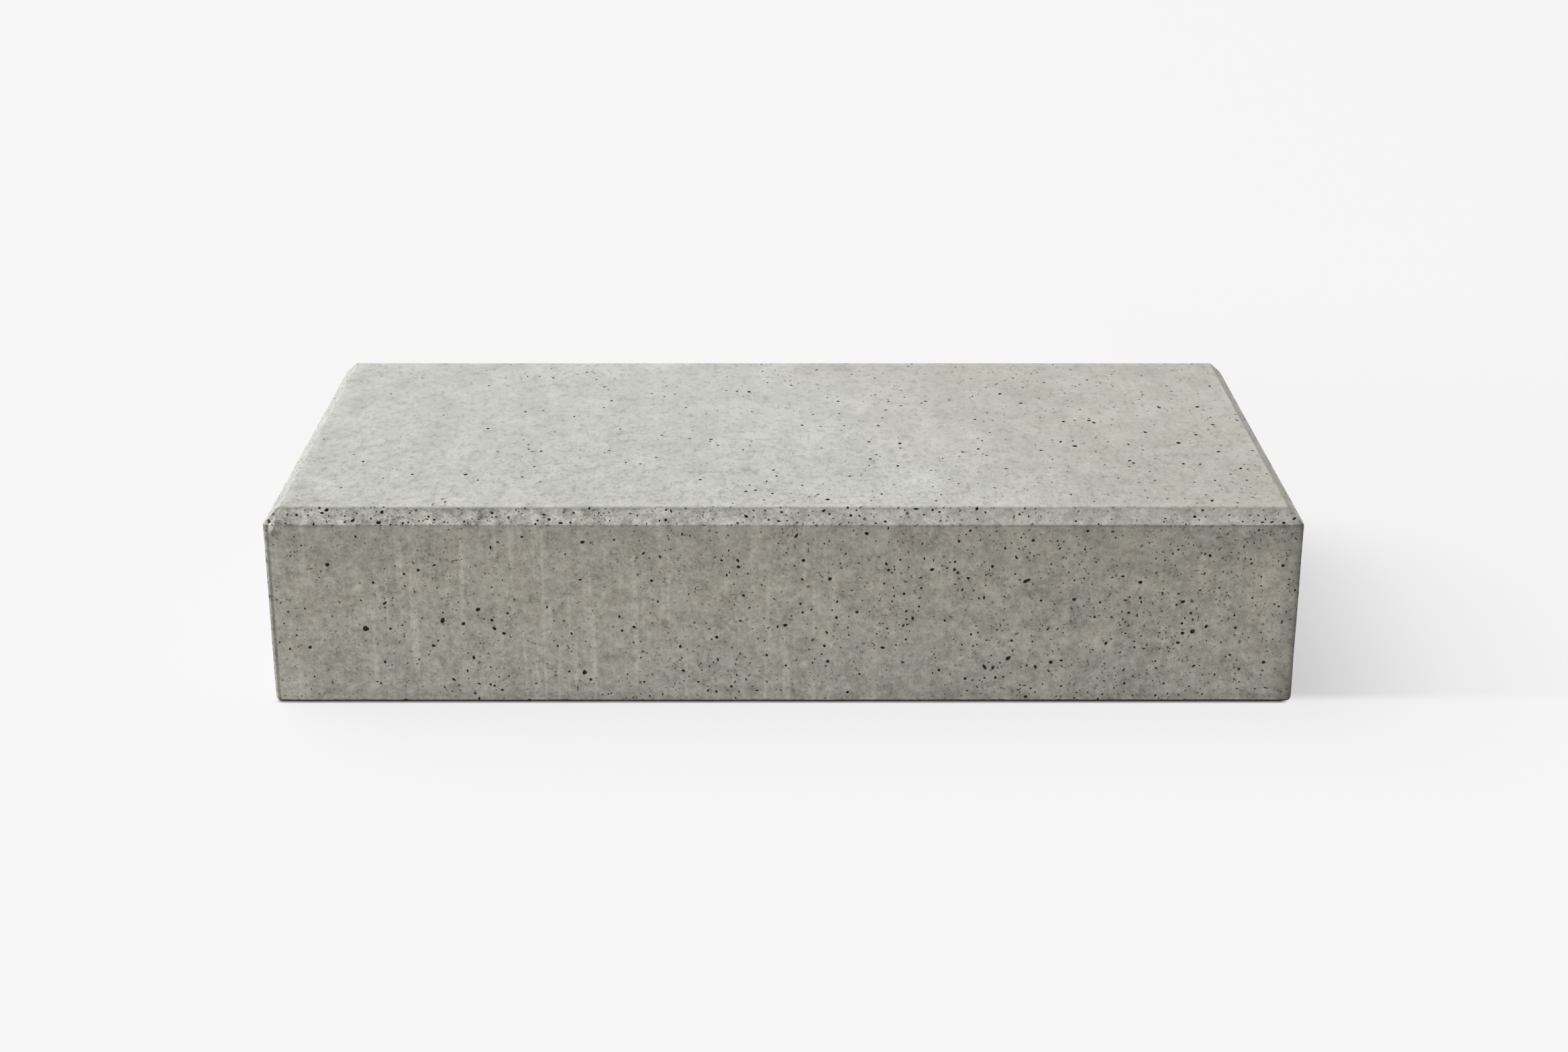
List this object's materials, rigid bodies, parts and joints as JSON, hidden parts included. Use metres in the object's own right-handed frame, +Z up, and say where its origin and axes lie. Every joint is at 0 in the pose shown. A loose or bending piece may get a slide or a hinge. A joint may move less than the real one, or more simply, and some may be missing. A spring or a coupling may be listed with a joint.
{
  "type": "solid concrete block",
  "caption": "Long low solid cast concrete block with a bevel round its top face, softly rounded upright and base edges, and no cores or holes.",
  "frame": {"origin": "middle of the underside, on the floor that the block lies on", "axes": "+X along the length, +Y along the width from the front face to the back face, +Z up through the height to the bevelled top"},
  "size_m": [0.6, 0.3, 0.12],
  "materials": {
    "concrete": "matte"
  },
  "bodies": {
    "root": {"concrete_block": "concrete"}
  },
  "joints": []
}
